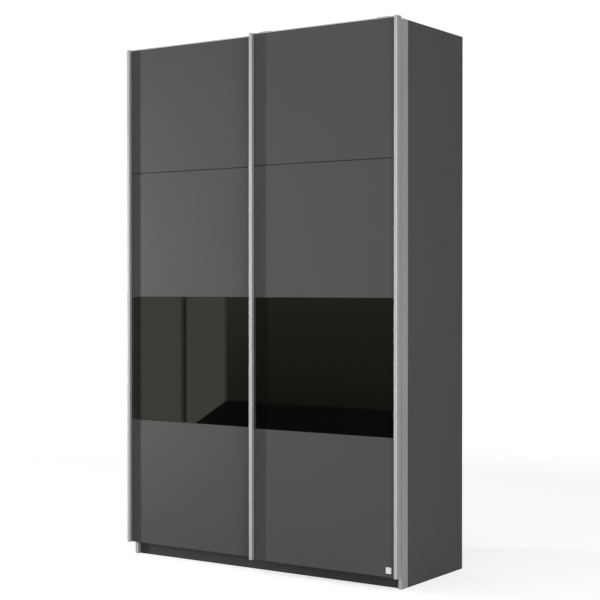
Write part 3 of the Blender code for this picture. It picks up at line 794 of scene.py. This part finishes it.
# ---------------------------------------------------------------- heads of the fixings
def dome(radius, height, rings, steps):
    """A low round head that stands on the XY plane, with a flat underside."""
    outline = [(0.0, 0.0), (radius, 0.0), (radius, height * HEAD_RIM_SHARE)]
    for k in range(1, rings):
        angle = math.pi / 2 * k / rings
        share = HEAD_RIM_SHARE + (1 - HEAD_RIM_SHARE) * math.sin(angle)
        outline.append((radius * math.cos(angle), height * share))
    outline.append((0.0, height))
    return turned(outline, (0, 0, 0), UP, steps)


def cross_blade(name, length, width, top, depth, turn):
    """One tapered blade of a cross recess."""
    shape = bmesh.new()
    bmesh.ops.create_cube(shape, size=1.0)
    for corner in shape.verts:
        taper = 1.0 if corner.co.z > 0 else BLADE_TAPER
        corner.co.x *= length * taper
        corner.co.y *= width * taper
        corner.co.z = top if corner.co.z > 0 else top - depth
        corner.co.rotate(turn)
    return piece_from(shape, name)


def screw_head():
    """A low round head with a cross recess."""
    head = piece_from(dome(SCREW_RADIUS, SCREW_HEIGHT, rings=4, steps=24), "pan_head")
    for k in range(2):
        turn = Quaternion(UP, math.pi / 2 * k)
        blade = cross_blade(f"blade_{k}", CROSS_LENGTH, CROSS_WIDTH, CROSS_TOP, CROSS_DEPTH, turn)
        carve(head, [blade])
    drop_flakes(head)
    return head


def cover_cap():
    """A round cap over a cam fitting, with a dished middle."""
    rim = COVER_RADIUS
    side = COVER_HEIGHT * 0.5
    shoulder = rim * 0.94
    lip = rim * 0.80
    dish = rim * 0.70
    dish_edge = COVER_HEIGHT * 0.7
    dish_floor = COVER_HEIGHT * 0.6
    outline = [(0.0, 0.0), (rim, 0.0), (rim, side), (shoulder, COVER_HEIGHT),
               (lip, COVER_HEIGHT), (dish, dish_edge), (0.0, dish_floor)]
    return piece_from(turned(outline, (0, 0, 0), UP, steps=32), "cover_cap")


def shelf_pin():
    """A steel pin with a collar, its shank out of the wall."""
    outline = [
        (0.0, 0.0), (PIN_COLLAR_RADIUS, 0.0), (PIN_COLLAR_RADIUS, PIN_COLLAR_LENGTH),
        (PIN_RADIUS, PIN_SHOULDER), (PIN_RADIUS, PIN_LENGTH - PIN_BEVEL),
        (PIN_RADIUS - PIN_BEVEL, PIN_LENGTH), (0.0, PIN_LENGTH)]
    return piece_from(turned(outline, (0, 0, 0), UP, steps=20), "shelf_pin")


def fixing_rows():
    """Geometry nodes: one row of heads, each turned at random about its own axis."""
    tree = bpy.data.node_groups.new("fixing_row", "GeometryNodeTree")
    new_sockets(
        tree,
        [("Geometry", "Geometry", None), ("Start", "Vector", None), ("Step", "Vector", None),
         ("Count", "Int", 1), ("Head", "Object", None), ("Facing", "Vector", None),
         ("Seed", "Int", SEED), ("Finish", "Material", None)],
        [("Geometry", "Geometry")])
    made = Tree(tree)
    given = tree.nodes.new("NodeGroupInput").outputs
    result = tree.nodes.new("NodeGroupOutput").inputs
    places = {"Count": given["Count"], "Start Location": given["Start"], "Offset": given["Step"]}
    row = made.node("GeometryNodeMeshLine", places, mode="OFFSET")
    head = made.node("GeometryNodeObjectInfo", {"Object": given["Head"]})
    chance = made.node("FunctionNodeRandomValue", {"Seed": given["Seed"]}, data_type="FLOAT")
    made.feed(chance.inputs[2], 0.0)
    made.feed(chance.inputs[3], 2 * math.pi)
    spin = made.node("ShaderNodeCombineXYZ", {"Z": chance.outputs[1]}).outputs[0]
    facing_turn = made.node("FunctionNodeEulerToRotation", {0: given["Facing"]}).outputs[0]
    spin_turn = made.node("FunctionNodeEulerToRotation", {0: spin}).outputs[0]
    both_turns = {"Rotation": facing_turn, "Rotate By": spin_turn}
    turn = made.node("FunctionNodeRotateRotation", both_turns, rotation_space="LOCAL").outputs[0]
    heads = made.node("GeometryNodeInstanceOnPoints", {
        "Points": row.outputs[0], "Instance": head.outputs["Geometry"], "Rotation": turn})
    joined = made.node("GeometryNodeJoinGeometry")
    made.feed(joined.inputs[0], heads.outputs[0])
    made.feed(joined.inputs[0], given["Geometry"])
    plain = made.node("GeometryNodeRealizeInstances", {0: joined.outputs[0]}).outputs[0]
    finished = made.node("GeometryNodeSetMaterial", {"Geometry": plain, "Material": given["Finish"]})
    made.feed(result[0], finished.outputs[0])
    return tree


FIXING_ROW = fixing_rows()
SOCKET_ID = {item.name: item.identifier for item in FIXING_ROW.interface.items_tree
             if item.in_out == "INPUT"}
HEADS = {
    "screw": screw_head(),
    "nail": piece_from(dome(NAIL_RADIUS, NAIL_HEIGHT, rings=2, steps=8), "nail_head"),
    "cover": cover_cap(),
    "pin": shelf_pin(),
}
FACING = {
    "up": (0.0, 0.0, 0.0),
    "front": (math.pi / 2, 0.0, 0.0),
    "back": (-math.pi / 2, 0.0, 0.0),
    "left": (0.0, -math.pi / 2, 0.0),
    "right": (0.0, math.pi / 2, 0.0),
}


def fix(name, body, slot, head, finish, rows):
    """Rows of (start, step, count, facing), made by geometry nodes and kept as one plain mesh."""
    host = add(name + "_rows", bpy.data.meshes.new(name + "_rows"))
    for k, (start, step, count, way) in enumerate(rows):
        row = host.modifiers.new(f"row_{k}", "NODES")
        row.node_group = FIXING_ROW
        values = {"Start": start, "Step": step, "Count": count, "Head": HEADS[head],
                  "Facing": FACING[way], "Seed": SEED + k, "Finish": FINISH[finish]}
        for key, value in values.items():
            row[SOCKET_ID[key]] = value
    host.update_tag()
    item = add(name, evaluated_mesh(host))
    discard(host)
    item.data.name = name
    smooth_where_round(item, HEAD_ROUND_ANGLE)
    place_on(item, body, slot)


def spread(start, end, count):
    """A row's start, step and count between two points, both ends included."""
    step = [(b - a) / max(count - 1, 1) for a, b in zip(start, end)]
    return tuple(start), tuple(step), count


# ---------------------------------------------------------------- fixings of the carcass
def fix_track():
    """Screws through the track's web into the top panel's front edge, below the runways."""
    low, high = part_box("top_track")
    panel_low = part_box("top_panel")[0]
    height = (panel_low.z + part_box("rear_runway_stop_shut")[0].z) / 2 - TRACK_SCREW_DROP
    face = panel_low.y - TRACK_WEB_FACE - SEAT
    ends = [(x, face, height) for x in (low.x + TRACK_SCREW_MARGIN, high.x - TRACK_SCREW_MARGIN)]
    rows = [spread(*ends, TRACK_SCREWS) + ("front",)]
    fix("top_track_screws", "carcass", "zinc_steel", "screw", "steel", rows)


def fix_back():
    """Nails through the back panels into the top and bottom panels' rear edges."""
    rows = []
    for panel in ("back_panel_left", "back_panel_right"):
        low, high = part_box(panel)
        for board in ("top_panel", "bottom_panel"):
            board_low, board_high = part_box(board)
            height = (board_low.z + board_high.z) / 2
            ends = [(x, high.y + SEAT, height) for x in (low.x + NAIL_MARGIN, high.x - NAIL_MARGIN)]
            rows.append(spread(*ends, NAILS_IN_ROW) + ("back",))
    fix("back_panel_nails", "carcass", "zinc_steel", "nail", "steel", rows)


def row_on(board, x):
    """A row from front to rear on a level board's upper face."""
    low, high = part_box(board)
    ends = [(x, y, high.z + SEAT) for y in (low.y + TOP_ROW_MARGIN, high.y - TOP_ROW_MARGIN)]
    return spread(*ends, TOP_ROW_COUNT) + ("up",)


def fix_top_and_bottom():
    """Cam covers beside both sides, and screws over the partition."""
    rows = []
    for board in ("top_panel", "bottom_panel"):
        low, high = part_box(board)
        for x in (low.x + COVER_INSET, high.x - COVER_INSET):
            rows.append(row_on(board, x))
    fix("panel_cam_covers", "carcass", "interior_board", "cover", "cover", rows)
    fix("partition_screws", "carcass", "zinc_steel", "screw", "steel", [row_on("top_panel", 0.0)])


def fix_shelves():
    """Four pins under each shelf."""
    for side in ("left", "right"):
        low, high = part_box("shelf_" + side)
        height = low.z - PIN_COLLAR_RADIUS - SEAT
        rows = []
        for wall, way in ((low.x, "right"), (high.x, "left")):
            ends = [(wall, y, height) for y in (low.y + PIN_MARGIN, high.y - PIN_MARGIN)]
            rows.append(spread(*ends, 2) + (way,))
        fix(f"shelf_{side}_pins", "carcass", "zinc_steel", "pin", "steel", rows)


def fix_brackets():
    """One screw through each wall bracket into the top panel."""
    rows = []
    for side in ("left", "right"):
        low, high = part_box("wall_bracket_" + side)
        middle = (low.x + high.x) / 2
        hole = high.y - (high.y - low.y) * BRACKET_HOLE_SHARE
        rows.append(((middle, hole, low.z + BRACKET_SHEET + SEAT), (0.0, 0.0, 0.0), 1, "up"))
    fix("wall_bracket_screws", "carcass", "zinc_steel", "screw", "steel", rows)


# ---------------------------------------------------------------- fixings of the doors
def fix_rear_hangers():
    """Four screws through each hanger plate into the back of the rear door."""
    rows = []
    for side in ("left", "right"):
        low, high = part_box("left_door_carriage_" + side)
        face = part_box("left_door_board_top")[1].y + HANGER_SHEET + SEAT
        for rise in HANGER_SCREW_HEIGHTS:
            ends = [(x, face, low.z + rise)
                    for x in (low.x + HANGER_SCREW_INSET, high.x - HANGER_SCREW_INSET)]
            rows.append(spread(*ends, 2) + ("back",))
    fix("left_door_hanger_screws", "left_door", "zinc_steel", "screw", "steel", rows)


def plug(shape, low, high, outward):
    """A dished plug in the end of a hollow profile; outward is 1 for the top end, or -1."""
    made = bmesh.ops.create_cube(shape, size=1.0)["verts"]
    for corner in made:
        for axis in range(3):
            corner.co[axis] = high[axis] if corner.co[axis] > 0 else low[axis]
    shape.normal_update()
    faces = {face for corner in made for face in corner.link_faces}
    end = [face for face in faces if face.normal.z * outward > 0.9]
    bmesh.ops.inset_region(shape, faces=end, thickness=CAP_RIM, depth=0.0)
    bmesh.ops.inset_region(shape, faces=end, thickness=CAP_SLOPE, depth=-CAP_DISH)


def cap_profile(name, node, wall, body, reach):
    """Plugs in both open ends of a hollow upright profile."""
    low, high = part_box(node)
    inset = wall + CAP_PLAY
    shape = bmesh.new()
    corner = (low.x + inset, low.y + inset)
    far = (high.x - inset, low.y + reach - inset)
    plug(shape, (*corner, high.z - CAP_RECESS - CAP_DEPTH), (*far, high.z - CAP_RECESS), 1)
    plug(shape, (*corner, low.z + CAP_RECESS), (*far, low.z + CAP_RECESS + CAP_DEPTH), -1)
    bmesh.ops.recalc_face_normals(shape, faces=shape.faces)
    place_on(piece_from(shape, name, "cap"), body, "grey_nylon")


def cap_profiles():
    """Plugs in the side strips and in the handles."""
    for side in ("left", "right"):
        strip = "side_strip_" + side
        low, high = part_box(strip)
        cap_profile(strip + "_caps", strip, STRIP_WALL, "carcass", high.y - low.y)
        for door in ("left_door", "right_door"):
            handle = f"{door}_handle_{side}"
            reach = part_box(door + "_board_lower")[0].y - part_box(handle)[0].y - HANDLE_GAP
            cap_profile(handle + "_caps", handle, HANDLE_WALL, door, reach)


# ---------------------------------------------------------------- wheels
def both_sides(half_outline):
    """A half outline and its mirror image on the axis' other side."""
    return half_outline + [(radius, -run) for radius, run in reversed(half_outline)]


def build_wheel(door, side):
    """A nylon roller with a recessed web on a shielded ball bearing."""
    node = f"{door}_wheel_{side}"
    low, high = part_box(node)
    center = (low + high) / 2
    rim = (high.z - low.z) / 2
    half = (high.y - low.y) / 2
    web = half - WEB_RECESS
    outline = both_sides([
        (HUB_BORE, half - ROLLER_EDGE), (HUB_BORE + ROLLER_EDGE, half), (HUB_RADIUS, half),
        (WEB_INNER, web), (WEB_OUTER, web), (RIM_INNER, half),
        (rim - ROLLER_EDGE, half), (rim, half - ROLLER_EDGE),
        (rim, GROOVE_HALF_WIDTH + GROOVE_SLOPE), (rim - GROOVE_DEPTH, GROOVE_HALF_WIDTH)])
    roller = piece_from(turned(outline, center, REARWARD), node + "_roller", "nylon")
    holes = []
    reach = half * DRILL_REACH
    drill = [(0.0, -reach), (WEB_HOLE_RADIUS, -reach), (WEB_HOLE_RADIUS, reach), (0.0, reach)]
    for k in range(WEB_HOLES):
        angle = 2 * math.pi * k / WEB_HOLES
        spot = (center.x + WEB_HOLE_RING * math.cos(angle), center.y,
                center.z + WEB_HOLE_RING * math.sin(angle))
        holes.append(piece_from(turned(drill, spot, REARWARD, steps=12), f"{node}_hole_{k}"))
    carve(roller, holes)
    smooth_where_round(roller)
    place_on(roller, node, "grey_nylon", node)
    lip = half - BEARING_RECESS
    outline = both_sides([
        (BEARING_BORE, lip - BEARING_EDGE), (BEARING_BORE + BEARING_EDGE, lip), (INNER_RACE, lip),
        (SHIELD_INNER, lip - SHIELD_SINK), (SHIELD_OUTER, lip - SHIELD_SINK), (OUTER_RACE, lip),
        (HUB_BORE - BEARING_SHOULDER, lip), (HUB_BORE - BEARING_FIT, lip - BEARING_EDGE)])
    bearing = piece_from(turned(outline, center, REARWARD), node + "_bearing", "steel")
    smooth_where_round(bearing)
    place_on(bearing, node, "zinc_steel")


def build_arm(side):
    """The front door's cranked arm, with two countersunk screws into the door's top edge."""
    node = "right_door_carriage_" + side
    low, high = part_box(node)
    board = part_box("right_door_board_top")
    y = (board[0].y + board[1].y) / 2
    shape = bmesh.new()
    shape.from_mesh(NODES[node].data)
    bmesh.ops.remove_doubles(shape, verts=shape.verts, dist=CAD_WELD)
    arm = piece_from(shape, node + "_arm", "steel")
    sink = [(0.0, SINK_OVERCUT), (SINK_RADIUS, SINK_OVERCUT), (SINK_RADIUS, 0.0),
            (SHANK_RADIUS, -SINK_DEPTH), (0.0, -SINK_DEPTH)]
    head = [(0.0, -FLAT_HEAD_TOP), (FLAT_HEAD_FACE, -FLAT_HEAD_TOP),
            (FLAT_HEAD_RADIUS, -FLAT_HEAD_EDGE), (SHANK_RADIUS, -FLAT_HEAD_DEPTH),
            (0.0, -FLAT_HEAD_DEPTH)]
    spots = [(x, y, high.z) for x in (low.x + ARM_SCREW_INSET, high.x - ARM_SCREW_INSET)]
    carve(arm, [piece_from(turned(sink, spot, UP, steps=32), f"{node}_sink_{k}")
                for k, spot in enumerate(spots)])
    # the copied normals belong to the uncut shape
    stored = arm.data.attributes.get("custom_normal")
    if stored:
        arm.data.attributes.remove(stored)
    smooth_where_round(arm)
    place_on(arm, "right_door", "zinc_steel", node)
    for k, spot in enumerate(spots):
        screw = piece_from(turned(head, spot, UP, steps=32), f"{node}_screw_{k}", "steel")
        drive = cross_blade(f"{node}_drive_{k}", DRIVE_LENGTH, DRIVE_WIDTH, 0.0, DRIVE_DEPTH,
                            Quaternion())
        drive.data.transform(Matrix.Translation(spot))
        carve(screw, [drive])
        smooth_where_round(screw)
        place_on(screw, "right_door", "zinc_steel")


# ---------------------------------------------------------------- stage
def aim(item, place, back):
    item.location = place
    item.rotation_euler = (-Vector(back)).to_track_quat("-Z", "Y").to_euler()


def set_camera():
    lens = bpy.data.cameras.new("view")
    lens.lens = CAMERA_LENS
    lens.sensor_width = SENSOR_WIDTH
    lens.clip_end = VIEW_DEPTH
    camera = add("view", lens)
    back = (math.sin(CAMERA_YAW) * math.cos(CAMERA_DIP),
            -math.cos(CAMERA_YAW) * math.cos(CAMERA_DIP), math.sin(CAMERA_DIP))
    aim(camera, CAMERA_PLACE, back)
    bpy.context.scene.camera = camera


def soft_light(name, place, target, width, height, watts):
    """A rectangular light that the camera doesn't see."""
    lamp = bpy.data.lights.new(name, "AREA")
    lamp.shape = "RECTANGLE"
    lamp.size = width
    lamp.size_y = height
    lamp.energy = watts
    item = add(name, lamp)
    item.visible_camera = False
    aim(item, place, Vector(place) - Vector(target))


def glow(name, colour, low, high):
    """A stage material that only gives light, from low at the floor to high where it levels out."""
    material = bpy.data.materials.new(name)
    material.use_nodes = True
    nodes = Tree(material.node_tree)
    material.node_tree.nodes.remove(material.node_tree.nodes["Principled BSDF"])
    place = nodes.node("ShaderNodeTexCoord").outputs["Object"]
    height = nodes.node("ShaderNodeSeparateXYZ", {0: place}).outputs["Z"]
    strength = nodes.node("ShaderNodeMapRange", {
        "Value": height, "From Min": 0.0, "From Max": GLOW_RISE,
        "To Min": low, "To Max": high}).outputs["Result"]
    shine = nodes.node("ShaderNodeEmission", {"Color": colour, "Strength": strength})
    nodes.feed(material.node_tree.nodes["Material Output"].inputs["Surface"], shine.outputs[0])
    return material


def flag(name, corners, colour, low, high):
    """A flat panel of plain tone that shows only as a reflection in gloss."""
    mesh = bpy.data.meshes.new(name)
    mesh.from_pydata(corners, [], [tuple(range(len(corners)))])
    mesh.materials.append(glow(name, colour, low, high))
    item = add(name, mesh)
    item.visible_camera = False
    item.visible_diffuse = False
    item.visible_shadow = False
    item.visible_transmission = False


def wall_flag(name, start, end, colour, low, high):
    """An upright flag over a line on the floor."""
    corners = [(*start, 0.0), (*end, 0.0), (*end, WALL_TOP), (*start, WALL_TOP)]
    flag(name, corners, colour, low, high)


def set_flags():
    """A plain room corner in front of the wardrobe, for the black glass to mirror, with two dimmed
    stretches that paint the handles' shadow bands into the glass.
    """
    for k, (start, end, strength, colour) in enumerate(LEFT_WALL):
        a = CORNER + (LEFT_WALL_END - CORNER) * start
        b = CORNER + (LEFT_WALL_END - CORNER) * end
        wall_flag(f"flag_left_{k}", a, b, colour, strength, strength)
    for k, (start, end, low, high) in enumerate(BACK_WALL):
        wall_flag(f"flag_back_{k}", (start, CORNER.y), (end, CORNER.y), DIM_TONE, low, high)
    floor = [(*CORNER, 0.0), (BACK_END, CORNER.y, 0.0), (DARK_FLOOR_RIGHT, DARK_FLOOR_NEAR, 0.0),
             (DARK_FLOOR_LEFT, DARK_FLOOR_NEAR, 0.0)]
    flag("flag_floor", floor, DIM_TONE, DARK_FLOOR_STRENGTH, DARK_FLOOR_STRENGTH)


def set_floor():
    """A pale round floor, its rim faded out."""
    shape = bmesh.new()
    bmesh.ops.create_circle(shape, cap_ends=True, segments=FLOOR_SEGMENTS, radius=FLOOR_RADIUS)
    material = bpy.data.materials.new("pale_floor")
    material.use_nodes = True
    nodes = Tree(material.node_tree)
    shader = material.node_tree.nodes["Principled BSDF"]
    shader.inputs["Base Color"].default_value = FLOOR_TONE
    shader.inputs["Roughness"].default_value = FLOOR_ROUGHNESS
    shader.inputs["Emission Color"].default_value = WHITE
    seen = nodes.node("ShaderNodeLightPath").outputs["Is Camera Ray"]
    nodes.feed(shader.inputs["Emission Strength"], nodes.math("MULTIPLY", seen, FLOOR_GLOW))
    place = nodes.node("ShaderNodeTexCoord").outputs["Object"]
    far = nodes.node("ShaderNodeVectorMath", {0: place}, operation="LENGTH").outputs["Value"]
    faded = nodes.step(far, FLOOR_RADIUS * FLOOR_FADE_START, FLOOR_RADIUS * FLOOR_FADE_END,
                       start=1.0, end=0.0)
    nodes.feed(shader.inputs["Alpha"], faded)
    item = piece_from(shape, "floor")
    item.data.materials.append(material)
    item.location.z = -FLOOR_DROP


def set_world():
    """White to the camera; its light is stronger from the front left than from the back right."""
    world = bpy.data.worlds.new("studio")
    world.use_nodes = True
    bpy.context.scene.world = world
    nodes = Tree(world.node_tree)
    way = nodes.node("ShaderNodeTexCoord").outputs["Generated"]
    toward = nodes.vector("DOT_PRODUCT", way, BRIGHT_WAY)
    soft = nodes.step(toward, -1.0, 1.0, start=WORLD_DIM, end=WORLD_BRIGHT)
    seen = nodes.node("ShaderNodeLightPath").outputs["Is Camera Ray"]
    background = world.node_tree.nodes["Background"]
    nodes.feed(background.inputs["Color"], WHITE)
    nodes.feed(background.inputs["Strength"], nodes.math("MAXIMUM", soft, seen))


def set_studio():
    set_camera()
    set_world()
    set_floor()
    set_flags()
    for light in LIGHTS:
        soft_light(*light)
    bpy.context.scene.view_settings.view_transform = "Standard"


# ---------------------------------------------------------------- the wardrobe's own details
fix_track()
fix_back()
fix_top_and_bottom()
fix_shelves()
fix_brackets()
fix_rear_hangers()
cap_profiles()
for door_name in ("left_door", "right_door"):
    for end_name in ("left", "right"):
        build_wheel(door_name, end_name)
for end_name in ("left", "right"):
    build_arm(end_name)
discard(*HEADS.values())
set_studio()
